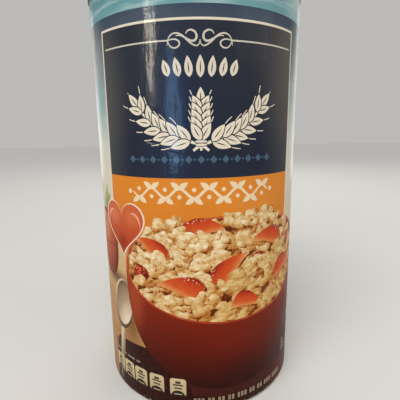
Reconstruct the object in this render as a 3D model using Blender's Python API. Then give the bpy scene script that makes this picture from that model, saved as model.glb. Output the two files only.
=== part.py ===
"""Shut round paperboard canister of rolled oats, standing on its rolled bottom rim.

Metres, +Z up. The origin is on the floor at the centre of the bottom rim, +Z runs up
the tube's axis, and the front of the label faces -Y.
"""

import math

import bmesh
import bpy

# Overall size of the pack
CANISTER_HEIGHT = 0.2445
LABEL_RADIUS = 0.0635
LID_RADIUS = 0.0650

# Sheet and wall sizes
LABEL_THICKNESS = 0.00025
LID_THICKNESS = 0.0011
BASE_THICKNESS = 0.0010
FIT_GAP = 0.0003
TUBE_RADIUS = LABEL_RADIUS - LABEL_THICKNESS - FIT_GAP

# Bottom rim: the tube's edge rolled inwards, round a recessed end
RIM_WIDTH = 0.0036
RIM_CORNER = 0.0013
RECESS_DEPTH = 0.0050
RECESS_RADIUS = TUBE_RADIUS - RIM_WIDTH

# Label: one sheet wrapped round the tube and lapped at the back
LABEL_BOTTOM = 0.0018
LABEL_TUCK = 0.0035
SEAM_ANGLE = math.radians(90.0)
SEAM_STEP = 0.00015
SEAM_LAP_SIDES = 2
SEAM_RUN_OUT_SIDES = 2

# Lid: a pressed-on cap with a stacking rim round a sunk panel
SKIRT_HEIGHT = 0.0080
SKIRT_BEAD_HEIGHT = 0.0016
SKIRT_BEAD_OUT = 0.0003
STACKING_RIM_WIDTH = 0.0026
STACKING_RIM_HEIGHT = 0.0022
PANEL_RING_RADIUS = 0.0500
PANEL_RING_WIDTH = 0.0016
PANEL_RING_HEIGHT = 0.0005
LID_CORNER = 0.0009
LID_TOP = CANISTER_HEIGHT
PANEL_TOP = LID_TOP - STACKING_RIM_HEIGHT
PANEL_UNDERSIDE = PANEL_TOP - LID_THICKNESS
SKIRT_BOTTOM = LID_TOP - SKIRT_HEIGHT
TUBE_TOP = PANEL_UNDERSIDE - FIT_GAP
LABEL_TOP = SKIRT_BOTTOM + LABEL_TUCK

# Fineness of the turned pieces
SIDES = 96
CORNER_STEPS = 3

# Colours, linear RGB
BOARD_COLOUR = (0.47, 0.39, 0.28)
LABEL_COLOUR = (0.028, 0.036, 0.058)
LID_COLOUR = (0.80, 0.80, 0.77)
BASE_COLOUR = (0.50, 0.44, 0.34)


def clear_scene():
    for obj in list(bpy.data.objects):
        bpy.data.objects.remove(obj, do_unlink=True)


def make_material(name, colour, roughness):
    material = bpy.data.materials.new(name)
    material.use_nodes = True
    shader = material.node_tree.nodes["Principled BSDF"]
    shader.inputs["Base Color"].default_value = (*colour, 1.0)
    shader.inputs["Roughness"].default_value = roughness
    shader.inputs["Metallic"].default_value = 0.0
    return material


def corner(centre_r, centre_z, radius, start_deg, end_deg):
    """Points of a rounded corner in the (r, z) plane, from one angle to the other."""
    points = []
    for step in range(CORNER_STEPS + 1):
        angle = math.radians(start_deg + (end_deg - start_deg) * step / CORNER_STEPS)
        points.append((centre_r + radius * math.cos(angle), centre_z + radius * math.sin(angle)))
    return points


def ring_points(radius, height):
    """One ring of points round the axis at a height."""
    turn = math.tau / SIDES
    return [
        (radius * math.cos(side * turn), radius * math.sin(side * turn), height)
        for side in range(SIDES)
    ]


def add_object(name, bm, material, sharp_degrees=35.0):
    bmesh.ops.recalc_face_normals(bm, faces=bm.faces)
    mesh = bpy.data.meshes.new(name)
    bm.to_mesh(mesh)
    bm.free()
    mesh.materials.append(material)
    mesh.shade_smooth()
    mesh.set_sharp_from_angle(angle=math.radians(sharp_degrees))
    obj = bpy.data.objects.new(name, mesh)
    bpy.context.scene.collection.objects.link(obj)
    return obj


def turned_solid(name, profile, material):
    """A solid of revolution. The profile runs from one point of the axis to the other."""
    bm = bmesh.new()
    rings = []
    for radius, height in profile:
        if radius == 0.0:
            rings.append([bm.verts.new((0.0, 0.0, height))])
        else:
            rings.append([bm.verts.new(point) for point in ring_points(radius, height)])
    for lower, upper in zip(rings, rings[1:]):
        for side in range(SIDES):
            after = (side + 1) % SIDES
            if len(lower) == 1:
                bm.faces.new((lower[0], upper[side], upper[after]))
            elif len(upper) == 1:
                bm.faces.new((lower[side], lower[after], upper[0]))
            else:
                bm.faces.new((lower[side], lower[after], upper[after], upper[side]))
    return add_object(name, bm, material)


def tube_profile():
    """Bottom centre to top centre: sunk end, rolled rim, straight wall, top edge."""
    inner_corner_r = RECESS_RADIUS + RIM_CORNER
    outer_corner_r = TUBE_RADIUS - RIM_CORNER
    points = [(0.0, RECESS_DEPTH), (RECESS_RADIUS, RECESS_DEPTH)]
    points += corner(inner_corner_r, RIM_CORNER, RIM_CORNER, 180.0, 270.0)
    points += corner(outer_corner_r, RIM_CORNER, RIM_CORNER, -90.0, 0.0)
    points += [(TUBE_RADIUS, TUBE_TOP), (0.0, TUBE_TOP)]
    return points


def lid_profile():
    """Underside centre, down inside the skirt, up outside it, over the rim to the panel."""
    skirt_inner = LID_RADIUS - LID_THICKNESS
    skirt_outer = LID_RADIUS - SKIRT_BEAD_OUT
    bead_top = SKIRT_BOTTOM + SKIRT_BEAD_HEIGHT
    rim_inner = skirt_outer - STACKING_RIM_WIDTH
    corner_z = LID_TOP - LID_CORNER
    ring_in = PANEL_RING_RADIUS - PANEL_RING_WIDTH / 2.0
    ring_out = PANEL_RING_RADIUS + PANEL_RING_WIDTH / 2.0
    ring_slope = PANEL_RING_HEIGHT
    points = [(0.0, PANEL_UNDERSIDE), (skirt_inner, PANEL_UNDERSIDE)]
    points += [(skirt_inner, SKIRT_BOTTOM), (LID_RADIUS, SKIRT_BOTTOM)]
    points += [(LID_RADIUS, bead_top), (skirt_outer, bead_top + SKIRT_BEAD_OUT)]
    points += corner(skirt_outer - LID_CORNER, corner_z, LID_CORNER, 0.0, 90.0)
    points += corner(rim_inner + LID_CORNER, corner_z, LID_CORNER, 90.0, 180.0)
    points += [(rim_inner, PANEL_TOP), (ring_out + ring_slope, PANEL_TOP)]
    points += [(ring_out, PANEL_TOP + PANEL_RING_HEIGHT), (ring_in, PANEL_TOP + PANEL_RING_HEIGHT)]
    points += [(ring_in - ring_slope, PANEL_TOP), (0.0, PANEL_TOP)]
    return points


def base_profile():
    """A flat paper disc pressed up into the recess, with a bevelled lower edge."""
    radius = RECESS_RADIUS - FIT_GAP
    top = RECESS_DEPTH - FIT_GAP
    bottom = top - BASE_THICKNESS
    bevel = BASE_THICKNESS / 2.0
    return [
        (0.0, bottom),
        (radius - bevel, bottom),
        (radius, bottom + bevel),
        (radius, top),
        (0.0, top),
    ]


def label_stations():
    """(angle, outer radius) round the label: a step up at the lap, then a run-out."""
    turn = math.tau / SIDES
    first = round(SEAM_ANGLE / turn)
    proud = LABEL_RADIUS + SEAM_STEP
    stations = [(first * turn, LABEL_RADIUS), (first * turn, proud)]
    for side in range(1, SIDES):
        past_lap = side - SEAM_LAP_SIDES
        run_out = min(max(past_lap / SEAM_RUN_OUT_SIDES, 0.0), 1.0)
        stations.append(((first + side) * turn, proud - SEAM_STEP * run_out))
    return stations


def make_label(material):
    inner_radius = LABEL_RADIUS - LABEL_THICKNESS
    bm = bmesh.new()
    columns = []
    for angle, outer_radius in label_stations():
        across, along = math.cos(angle), math.sin(angle)
        columns.append([
            bm.verts.new((radius * across, radius * along, height))
            for radius, height in (
                (outer_radius, LABEL_BOTTOM),
                (outer_radius, LABEL_TOP),
                (inner_radius, LABEL_TOP),
                (inner_radius, LABEL_BOTTOM),
            )
        ])
    # Both stations of the lap's step stand on one pair of inner points.
    for corner_index in (2, 3):
        bm.verts.remove(columns[1][corner_index])
        columns[1][corner_index] = columns[0][corner_index]
    for index, column in enumerate(columns):
        after = columns[(index + 1) % len(columns)]
        for start in range(4):
            end = (start + 1) % 4
            face = [column[start], after[start], after[end], column[end]]
            distinct = list(dict.fromkeys(face))
            if len(distinct) > 2:
                bm.faces.new(distinct)
    return add_object("label", bm, material)


def main():
    clear_scene()
    board = make_material("tube_board", BOARD_COLOUR, 0.85)
    paper = make_material("label_paper", LABEL_COLOUR, 0.35)
    plastic = make_material("lid_plastic", LID_COLOUR, 0.45)
    end_paper = make_material("base_paper", BASE_COLOUR, 0.85)
    turned_solid("tube", tube_profile(), board)
    turned_solid("base_disc", base_profile(), end_paper)
    turned_solid("lid", lid_profile(), plastic)
    make_label(paper)


main()
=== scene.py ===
"""Looks of a shut round paperboard canister of rolled oats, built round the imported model.

The printed wrap is drawn flat, in millimetres: u runs round the tube to the right from the
middle of the front, z runs up from the floor. Shapes are painted one over another, the sheet
is cut along every edge that shows, and each field of ink becomes a piece on the tube.
"""

import math
import random

import bpy
from mathutils import Matrix, Vector, geometry


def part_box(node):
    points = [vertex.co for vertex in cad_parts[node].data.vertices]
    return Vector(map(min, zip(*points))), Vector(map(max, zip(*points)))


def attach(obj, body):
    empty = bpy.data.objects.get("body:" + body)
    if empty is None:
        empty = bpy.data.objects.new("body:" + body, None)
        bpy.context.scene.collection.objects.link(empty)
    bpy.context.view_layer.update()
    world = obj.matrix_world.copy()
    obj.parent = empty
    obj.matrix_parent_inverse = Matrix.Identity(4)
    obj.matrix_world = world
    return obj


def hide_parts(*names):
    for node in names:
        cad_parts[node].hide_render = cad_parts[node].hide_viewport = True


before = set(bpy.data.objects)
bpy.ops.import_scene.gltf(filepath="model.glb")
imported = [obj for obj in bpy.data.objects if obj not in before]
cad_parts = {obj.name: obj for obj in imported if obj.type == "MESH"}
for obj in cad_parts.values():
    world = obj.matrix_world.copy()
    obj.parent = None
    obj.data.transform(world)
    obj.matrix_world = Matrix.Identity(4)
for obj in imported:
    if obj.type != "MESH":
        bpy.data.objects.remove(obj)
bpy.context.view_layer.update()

MM = 0.001
TAU = math.tau

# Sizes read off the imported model: radii and the lid in metres, the sheet in mm
label_low, label_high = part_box("label")
LABEL_RADIUS = label_high[0]
LABEL_FOOT = label_low[2] / MM
LABEL_HEAD = label_high[2] / MM
HALF_TURN = math.pi * LABEL_RADIUS / MM
lid_low, lid_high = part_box("lid")
LID_RADIUS = lid_high[0]
LID_TOP = lid_high[2]
LID_FOOT = lid_low[2]
TUBE_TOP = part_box("tube")[1][2]

# Paper: the lapped seam's step and the thicknesses in metres, its lap and run-out in mm
SEAM_STEP = 0.00015
INK_THICKNESS = 0.00003
PAPER_THICKNESS = 0.00025
LAP_WIDTH = 8.3
RUN_OUT = 8.3

# Board strips that wind up the tube, one width a turn, mm
STRIP_WIDTH = 100.0

# Press rings on the tube's and the end disc's underside, metres
TUBE_RING_RADIUS = 0.0590
DISC_RING_RADIUS = 0.0470
PRESS_RING_HALF = 0.0012

# Lid, metres: skirt with a bead, stacking rim, ring, shallow dish and gate mark on the panel
LID_WALL = 0.0011
LID_CLEARANCE = 0.0003
SKIRT_BEAD_OUT = 0.0003
SKIRT_BEAD_HEIGHT = 0.0016
SKIRT_CHAMFER = 0.0002
STACKING_RIM_WIDTH = 0.0026
STACKING_RIM_HEIGHT = 0.0022
LID_CORNER = 0.0009
LID_FILLET = 0.0004
PANEL_RING_RADIUS = 0.0500
PANEL_RING_HALF = 0.0008
PANEL_RING_HEIGHT = 0.0005
DISH_OUT = 0.0320
DISH_IN = 0.0120
DISH_SLOPE = 0.0003
DISH_DEPTH = 0.00015
GATE_MARK = ((0.0026, 0.0), (0.0022, 0.0001), (0.0009, 0.0001), (0.0006, 0.0004), (0.0, 0.00045))

# Fineness: columns round the wrap, sides of the lid, closest points in mm, least sliver in mm2
SHEET_COLUMNS = 192
LID_SIDES = 192
JOIN_DISTANCE = 1e-5
SLIVER = 2e-6

# Front of the wrap, mm
SKY_FOOT = 220.5
PANEL_HALF = 59.0
PANEL_TOP = 214.6
KEYLINE = 1.15
NAVY_FOOT = 139.4
BAND_FOOT = 98.0
RULE_HEIGHT = 204.8
RULE_THICKNESS = 0.75
RULE_IN = 15.1
RULE_OUT = 55.6
TABLE_EDGE = 78.0

# Ornaments on the front panel, mm
GRAIN_ROW_Z = 188.0
GRAIN_PITCH = 5.2
GRAIN_GAP = 0.55
EARS_FOOT = 153.4
LOZENGE_Z = 148.9
LOZENGE_PITCH = 6.3
VINE_Z = 131.6
VINE_REACH = 38.5
VINE_SWING = 2.5
VINE_WAVE = 15.4

# Bowl picture, mm
BOWL_U = 17.5
BOWL_RIM_Z = 88.6
BOWL_HALF = 66.0
BOWL_RIM_HALF = 30.8
BOWL_DEPTH = 74.0
BOWL_LIP = 1.5
HEAP_BACK = 124.0
HEAP_FRONT = 55.0

# Things on the table, mm
POT_U = -67.5
POT_Z = 76.0
SPOON_TILT = 1.42

# Heart badge, mm
HEART_U = -50.0
HEART_Z = 108.6
HEART_WIDTH = 36.0
HEART_HEIGHT = 33.5
HEART_EDGE = 1.1

# Panels on the rear of the wrap, mm from its front middle
REAR_NEAR = 104.0
REAR_FAR = 181.0
REAR_FOOT = 24.0
REAR_HEAD = 206.0

# Camera, metres and radians, and the photograph's frame in pixels
CAMERA_OUT = 0.2340
CAMERA_UP = 0.1646
CAMERA_TURN = 0.0349
CAMERA_PAN = 0.0074
CAMERA_PITCH = 0.20986
CAMERA_ROLL = -0.01275
PHOTO_WIDTH = 400.0
FOCAL_PIXELS = 339.7
SENSOR = 36.0


def srgb(red, green, blue):
    """Linear colour of a printed shade named by its screen values."""
    def channel(value):
        value /= 255.0
        return value / 12.92 if value <= 0.04045 else ((value + 0.055) / 1.055) ** 2.4
    return (channel(red), channel(green), channel(blue), 1.0)


class Wiring:
    """Adds nodes to a material or to a node group and links them."""

    def __init__(self, tree):
        self.tree = tree

    def node(self, kind, **settings):
        node = self.tree.nodes.new(kind)
        for key, value in settings.items():
            setattr(node, key, value)
        return node

    def feed(self, socket, value):
        if isinstance(value, bpy.types.NodeSocket):
            self.tree.links.new(value, socket)
        elif value is not None:
            socket.default_value = value

    def feed_all(self, sockets, *values):
        for socket, value in zip(sockets, values):
            self.feed(socket, value)

    def math(self, operation, first, second=None, third=None, clamp=False):
        node = self.node("ShaderNodeMath", operation=operation, use_clamp=clamp)
        self.feed_all(node.inputs, first, second, third)
        return node.outputs[0]

    def times(self, value, *factors):
        for factor in factors:
            value = self.math("MULTIPLY", value, factor)
        return value

    def vector_math(self, operation, *vectors):
        node = self.node("ShaderNodeVectorMath", operation=operation)
        self.feed_all(node.inputs, *vectors)
        return node.outputs

    def stretched(self, vector, along, across, third=1.0):
        return self.vector_math("MULTIPLY", vector, (along, across, third))[0]

    def scaled(self, colour, factor):
        node = self.node("ShaderNodeVectorMath", operation="SCALE")
        self.feed(node.inputs[0], colour)
        self.feed(node.inputs["Scale"], factor)
        return node.outputs[0]

    def mix(self, factor, first, second, blend="MIX"):
        """Two colours mixed by a factor."""
        node = self.node("ShaderNodeMix", data_type="RGBA", blend_type=blend)
        self.feed_all((node.inputs[0], node.inputs[6], node.inputs[7]), factor, first, second)
        return node.outputs[2]

    def blend(self, factor, first, second):
        """Two numbers mixed by a factor."""
        node = self.node("ShaderNodeMix", data_type="FLOAT")
        self.feed_all((node.inputs[0], node.inputs[2], node.inputs[3]), factor, first, second)
        return node.outputs[0]

    def step(self, value, start, end, low=0.0, high=1.0):
        """A soft step: low where the value is at the start, high where it is at the end."""
        node = self.node("ShaderNodeMapRange", interpolation_type="SMOOTHSTEP")
        self.feed_all(node.inputs, value, start, end, low, high)
        return node.outputs[0]

    def ramp(self, value, *stops):
        """A colour for a value. Each stop is (position, red, green, blue), as for srgb."""
        node = self.node("ShaderNodeValToRGB")
        elements = node.color_ramp.elements
        while len(elements) < len(stops):
            elements.new(0.5)
        for element, (position, *shade) in zip(elements, stops):
            element.position = position
            element.color = srgb(*shade)
        self.feed(node.inputs[0], value)
        return node.outputs[0]

    def noise_outputs(self, vector, scale, detail=2.0, roughness=0.5, distortion=0.0):
        node = self.node("ShaderNodeTexNoise")
        self.feed(node.inputs["Vector"], vector)
        node.inputs["Scale"].default_value = scale
        node.inputs["Detail"].default_value = detail
        node.inputs["Roughness"].default_value = roughness
        node.inputs["Distortion"].default_value = distortion
        return node.outputs

    def noise(self, *values):
        """Noise from 0 to 1."""
        return self.noise_outputs(*values)["Fac"]

    def swing(self, *values):
        """Noise that swings round 0."""
        return self.math("SUBTRACT", self.noise(*values), 0.5)

    def pushed(self, vector, reach, *values):
        """A place pushed about by noise, so that cells laid out by it have ragged edges."""
        noise = self.noise_outputs(vector, *values)["Color"]
        return self.vector_math("MULTIPLY_ADD", noise, (reach, reach, 0.0), vector)[0]

    def cells(self, vector, scale):
        """Flat cells: the Distance to the nearest middle, and a Color of its own for each."""
        node = self.node("ShaderNodeTexVoronoi", voronoi_dimensions="2D", feature="F1")
        self.feed(node.inputs["Vector"], vector)
        node.inputs["Scale"].default_value = scale
        return node.outputs

    def parts(self, vector):
        node = self.node("ShaderNodeSeparateXYZ")
        self.feed(node.inputs[0], vector)
        return node.outputs

    def sheet_place(self, name="Print"):
        """The (u, z) place on the printed sheet in mm, as a vector and as two numbers."""
        vector = self.node("ShaderNodeUVMap", uv_map=name).outputs[0]
        parts = self.parts(vector)
        return vector, parts[0], parts[1]

    def model_place(self):
        """The place in the model, in metres."""
        return self.node("ShaderNodeTexCoord").outputs["Object"]

    def from_axis(self, place):
        """Distance of a place from the canister's axis."""
        return self.vector_math("LENGTH", self.stretched(place, 1.0, 1.0, 0.0))["Value"]

    def bump(self, shader, height, strength, distance, socket="Normal"):
        node = self.node("ShaderNodeBump")
        node.inputs["Strength"].default_value = strength
        node.inputs["Distance"].default_value = distance
        self.feed(node.inputs["Height"], height)
        self.feed(shader.inputs[socket], node.outputs[0])

    def place(self, group, **values):
        """Outputs of a node group with its own values. An underscore stands for a space."""
        node = self.node("ShaderNodeGroup")
        node.node_tree = group
        for key, value in values.items():
            self.feed(node.inputs[key.replace("_", " ")], value)
        return node.outputs


def start_group(name, inputs, outputs):
    """A shader node group with named sockets. Each input is (name, kind, default)."""
    tree = bpy.data.node_groups.new(name, "ShaderNodeTree")
    for label, kind, default in inputs:
        socket = tree.interface.new_socket(label, in_out="INPUT", socket_type="NodeSocket" + kind)
        if default is not None:
            socket.default_value = default
    for label, kind in outputs:
        tree.interface.new_socket(label, in_out="OUTPUT", socket_type="NodeSocket" + kind)
    wiring = Wiring(tree)
    given = wiring.node("NodeGroupInput").outputs
    result = wiring.node("NodeGroupOutput").inputs
    return tree, wiring, given, result


# Effects shared by the materials


def make_press_grain():
    """Ink on paper: uneven lay, fine press grain, rubbed foot and small scuffs."""
    tree, w, given, result = start_group(
        "press grain",
        [("Ink", "Color", (0.5, 0.5, 0.5, 1.0)), ("Mottle", "Float", 0.06),
         ("Grain", "Float", 0.06), ("Rub", "Float", 0.5)],
        [("Ink", "Color"), ("Rubbed", "Float")])
    vector, _, height = w.sheet_place()
    lay = w.math("MULTIPLY_ADD", w.swing(vector, 0.045, 3.0, 0.55), given["Mottle"], 1.0)
    lay = w.math("MULTIPLY_ADD", w.swing(vector, 3.1, 2.0, 0.7), given["Grain"], lay)
    foot = w.step(height, LABEL_FOOT + 1.6, LABEL_FOOT)
    nicks = w.step(w.noise(vector, 0.55, 4.0, 0.7), 0.50, 0.66)
    scratches = w.step(w.noise(w.stretched(vector, 1.0, 0.10), 1.1, 3.0, 0.8), 0.70, 0.78)
    scratched = w.step(w.noise(vector, 0.022, 1.0), 0.52, 0.66)
    marks = w.times(scratches, scratched, 0.35)
    rubbed = w.math("MAXIMUM", w.times(foot, nicks), marks)
    rubbed = w.math("MULTIPLY", rubbed, given["Rub"], clamp=True)
    w.feed(result["Ink"], w.mix(rubbed, w.scaled(given["Ink"], lay), srgb(214, 206, 190)))
    w.feed(result["Rubbed"], rubbed)
    return tree


def make_wrap_relief():
    """Height of the varnished paper: fibres, orange peel, and the tube's wound joints."""
    tree, w, given, result = start_group(
        "wrap relief",
        [("Fibre", "Float", 0.10), ("Ripple", "Float", 0.5), ("Joint", "Float", 0.4)],
        [("Height", "Float"), ("Gloss Change", "Float")])
    vector, around, height = w.sheet_place()
    fibre = w.noise(w.stretched(vector, 1.0, 0.45), 2.6, 4.0, 0.65)
    peel = w.noise(vector, 0.30, 2.0, 0.5)
    pimples = w.noise(w.stretched(vector, 1.0, 0.45), 0.95, 2.0, 0.6)
    ripple = w.noise(w.stretched(vector, 0.16, 0.035), 1.0, 2.0, 0.5)
    # The board strips wind up the tube, so their joint shows as a slanted ridge.
    climb = w.math("MULTIPLY_ADD", around, STRIP_WIDTH / (2.0 * HALF_TURN), height)
    lane = w.math("FRACT", w.math("DIVIDE", climb, STRIP_WIDTH))
    ridge = w.step(w.math("ABSOLUTE", w.math("SUBTRACT", lane, 0.5)), 0.012, 0.0)
    total = w.times(fibre, given["Fibre"])
    for layer, weight in ((peel, 0.25), (pimples, 0.13), (ripple, given["Ripple"]),
                          (ridge, given["Joint"])):
        total = w.math("MULTIPLY_ADD", layer, weight, total)
    w.feed(result["Height"], total)
    w.feed(result["Gloss Change"], w.step(w.noise(vector, 0.06, 3.0), 0.3, 0.7, -0.05, 0.07))
    return tree


def make_soft_spot():
    """A soft oval patch on the sheet: 1 at its middle, 0 outside."""
    tree, w, given, result = start_group(
        "soft spot",
        [("Middle U", "Float", 0.0), ("Middle Z", "Float", 0.0), ("Half Width", "Float", 10.0),
         ("Half Height", "Float", 10.0)],
        [("Mask", "Float")])
    _, around, height = w.sheet_place()
    across = w.math("DIVIDE", w.math("SUBTRACT", around, given["Middle U"]), given["Half Width"])
    up = w.math("DIVIDE", w.math("SUBTRACT", height, given["Middle Z"]), given["Half Height"])
    square = w.math("ADD", w.times(across, across), w.times(up, up))
    w.feed(result["Mask"], w.step(w.math("SQRT", square), 1.0, 0.0))
    return tree


def make_rounded_form():
    """Light on a small thing in a picture, lit from the upper left and tilted its own way."""
    tree, w, given, result = start_group(
        "rounded form",
        [("Wrinkle", "Float", 0.3), ("Edge Shade", "Float", 0.4), ("Spread", "Float", 0.2),
         ("Bend", "Float", 1.0)],
        [("Light", "Float")])
    vector, _, _ = w.sheet_place()
    _, x, y = w.sheet_place("Form")
    _, chance, lean = w.sheet_place("Tone")
    bend = w.times(w.swing(vector, 0.30, 3.0, 0.6), given["Bend"])
    x = w.math("MULTIPLY_ADD", bend, 0.9, x)
    y = w.math("MULTIPLY_ADD", bend, -0.7, y)
    square = w.math("ADD", w.times(x, x), w.times(y, y))
    dome = w.math("SQRT", w.math("MULTIPLY_ADD", square, -0.8, 1.0, clamp=True))
    sideways = w.math("MULTIPLY_ADD", lean, 0.40, -0.36)
    wrinkle = w.swing(vector, 0.95, 4.0, 0.62, 0.8)
    light = 0.32
    for part, weight in ((x, sideways), (y, 0.32), (dome, 0.42), (wrinkle, given["Wrinkle"]),
                         (w.math("SUBTRACT", chance, 0.5), given["Spread"])):
        light = w.math("MULTIPLY_ADD", part, weight, light)
    rim = w.times(w.step(square, 0.45, 1.35), given["Edge Shade"])
    w.feed(result["Light"], w.math("SUBTRACT", light, rim, clamp=True))
    return tree


def make_lump_height():
    """Height of a heap of soft flakes: lumps, flakes on the lumps, and crumbs."""
    tree, w, given, result = start_group(
        "lump height", [("Place", "Vector", None)], [("Height", "Float")])
    place = w.pushed(given["Place"], 5.2, 0.38, 3.0, 0.62)
    total = 0.0
    for scale, wide, tall, weight in ((0.11, 1.0, 1.2, 1.5), (0.23, 0.85, 1.3, 0.8)):
        away = w.cells(w.stretched(place, wide, tall), scale)["Distance"]
        dome = w.math("SUBTRACT", 1.0, w.times(away, away))
        total = w.math("MULTIPLY_ADD", dome, weight, total)
    crumbs = w.noise(given["Place"], 0.65, 3.0, 0.55)
    w.feed(result["Height"], w.math("MULTIPLY_ADD", crumbs, 0.30, total))
    return tree


def make_crumble(lump_height):
    """Light on the heap in a picture, lit from the upper left, darker in its hollows."""
    tree, w, given, result = start_group(
        "crumble", [("Contrast", "Float", 1.0)], [("Light", "Float")])
    vector, _, _ = w.sheet_place()
    toward = w.vector_math("ADD", vector, (-0.75, 1.0, 0.0))[0]
    here = w.place(lump_height, Place=vector)["Height"]
    there = w.place(lump_height, Place=toward)["Height"]
    slope = w.math("SUBTRACT", here, there)
    light = w.math("MULTIPLY_ADD", slope, w.times(given["Contrast"], 1.25), 0.62)
    hollow = w.step(here, 2.05, 1.45, 0.0, 0.40)
    w.feed(result["Light"], w.math("SUBTRACT", light, hollow, clamp=True))
    return tree


def make_board_fibre():
    """Uncoated board: short pale and dark fibres, and slow stains."""
    tree, w, given, result = start_group(
        "board fibre",
        [("Board", "Color", (0.5, 0.5, 0.5, 1.0)), ("Fibre", "Float", 0.3),
         ("Stain", "Float", 0.15)],
        [("Board", "Color"), ("Height", "Float")])
    place = w.model_place()
    fibre = w.noise(w.stretched(place, 1.0, 1.0, 0.3), 2600.0, 4.0, 0.7)
    fleck = w.step(w.noise(place, 1500.0, 3.0, 0.8), 0.62, 0.72)
    lay = w.math("MULTIPLY_ADD", w.math("SUBTRACT", fibre, 0.5), given["Fibre"], 1.0)
    lay = w.math("MULTIPLY_ADD", w.swing(place, 60.0, 3.0, 0.6), given["Stain"], lay)
    w.feed(result["Board"],
           w.mix(w.times(fleck, 0.35), w.scaled(given["Board"], lay), srgb(122, 104, 82)))
    w.feed(result["Height"], w.math("ADD", fibre, w.times(fleck, 0.4)))
    return tree


PRESS_GRAIN = make_press_grain()
WRAP_RELIEF = make_wrap_relief()
SOFT_SPOT = make_soft_spot()
ROUNDED_FORM = make_rounded_form()
CRUMBLE = make_crumble(make_lump_height())
BOARD_FIBRE = make_board_fibre()


# Materials


def start_material(name):
    material = bpy.data.materials.new(name)
    material.use_nodes = True
    return material, Wiring(material.node_tree), material.node_tree.nodes["Principled BSDF"]


def printed(name, ink):
    """Varnished ink on the wrap. The ink is a colour, or a function that wires one."""
    material, w, shader = start_material(name)
    colour = ink(w) if callable(ink) else ink
    surface = w.place(PRESS_GRAIN, Ink=colour, Mottle=0.08, Grain=0.10, Rub=0.6)
    relief = w.place(WRAP_RELIEF, Fibre=0.035, Ripple=1.1, Joint=0.35)
    w.feed(shader.inputs["Base Color"], surface["Ink"])
    dull = w.math("MULTIPLY_ADD", surface["Rubbed"], 0.30, 0.42)
    w.feed(shader.inputs["Roughness"], w.math("ADD", dull, relief["Gloss Change"]))
    shader.inputs["Specular IOR Level"].default_value = 0.03
    w.feed(shader.inputs["Coat Weight"], w.math("MULTIPLY_ADD", surface["Rubbed"], -0.15, 0.18))
    shader.inputs["Coat Roughness"].default_value = 0.13
    w.bump(shader, relief["Height"], 0.35, 0.00012)
    w.bump(shader, relief["Height"], 0.9, 0.00033, "Coat Normal")
    return material


def spots(w, colour, *patches):
    """Lays soft oval patches of other shades, each (red, green, blue), over a colour."""
    for middle_u, middle_z, half_width, half_height, strength, shade in patches:
        mask = w.place(SOFT_SPOT, Middle_U=middle_u, Middle_Z=middle_z,
                       Half_Width=half_width, Half_Height=half_height)["Mask"]
        colour = w.mix(w.times(mask, strength), colour, srgb(*shade))
    return colour


def ground_ink(w):
    """The picture's backdrop: slate, teal, pale light, cream, then the table."""
    vector, _, height = w.sheet_place()
    drift = w.swing(w.stretched(vector, 0.6, 1.0), 0.035, 3.0)
    level = w.math("DIVIDE", w.math("MULTIPLY_ADD", drift, 26.0, height), 240.0)
    colour = w.ramp(
        level, (0.00, 148, 104, 62), (0.10, 172, 124, 76), (0.20, 190, 142, 86),
        (0.30, 202, 158, 100), (0.36, 208, 174, 126), (0.44, 216, 194, 158),
        (0.55, 220, 212, 192), (0.66, 206, 210, 200), (0.74, 162, 178, 180),
        (0.81, 110, 122, 132), (0.88, 76, 87, 101), (0.95, 56, 70, 90))
    streak = w.step(w.noise(w.stretched(vector, 0.02, 0.16), 1.0, 2.0), 0.46, 0.80)
    between = w.times(w.step(height, 120.0, 160.0), w.step(height, 206.0, 186.0))
    colour = w.mix(w.times(streak, between, 0.35), colour, srgb(220, 224, 216))
    grain = w.step(w.noise(w.stretched(vector, 0.03, 0.40), 1.0, 4.0, 0.6, 0.5), 0.42, 0.70)
    low = w.step(height, TABLE_EDGE, TABLE_EDGE - 16.0)
    colour = w.mix(w.times(grain, low, 0.40), colour, srgb(126, 90, 54))
    # The first three spots are painted reflection: pale glare high on both side strips, teal on
    # the left.
    return spots(w, colour, (-69.0, 197.0, 17.0, 38.0, 0.50, (172, 177, 175)),
                 (71.0, 199.0, 18.0, 42.0, 0.52, (190, 194, 190)),
                 (-67.0, 178.0, 11.0, 26.0, 0.50, (106, 164, 172)),
                 (-60.0, 76.0, 20.0, 7.5, 0.85, (84, 46, 22)),
                 (-46.0, 50.0, 13.0, 24.0, 0.70, (104, 64, 34)))


def sky_ink(w):
    vector, _, height = w.sheet_place()
    cloud = w.step(w.noise(w.stretched(vector, 0.03, 0.30), 1.0, 3.0), 0.45, 0.72)
    level = w.step(height, SKY_FOOT, LABEL_HEAD)
    colour = w.mix(level, srgb(110, 158, 165), srgb(66, 122, 138))
    colour = w.mix(w.times(cloud, 0.7), colour, srgb(176, 200, 200))
    return spots(w, colour, (72.0, 232.0, 34.0, 20.0, 0.75, (206, 226, 222)))


def navy_ink(w):
    """Navy, lighter higher up; painted sheen: blue left of its middle, grey-brown at its sides."""
    _, _, height = w.sheet_place()
    colour = w.mix(w.step(height, 139.0, 214.0), srgb(36, 42, 58), srgb(46, 50, 60))
    # Painted reflection: a blue sheen left of the middle, and a grey-brown sheen at both sides.
    return spots(w, colour, (-12.0, 172.0, 26.0, 60.0, 0.45, (30, 46, 80)),
                 (-60.0, 180.0, 26.0, 70.0, 0.90, (90, 88, 87)),
                 (62.0, 196.0, 38.0, 84.0, 0.90, (104, 99, 95)))


def orange_ink(w):
    _, _, height = w.sheet_place()
    colour = w.mix(w.step(height, 100.0, 139.0), srgb(214, 124, 36), srgb(222, 134, 42))
    return spots(w, colour, (30.0, 128.0, 40.0, 20.0, 0.30, (226, 150, 70)))


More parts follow.
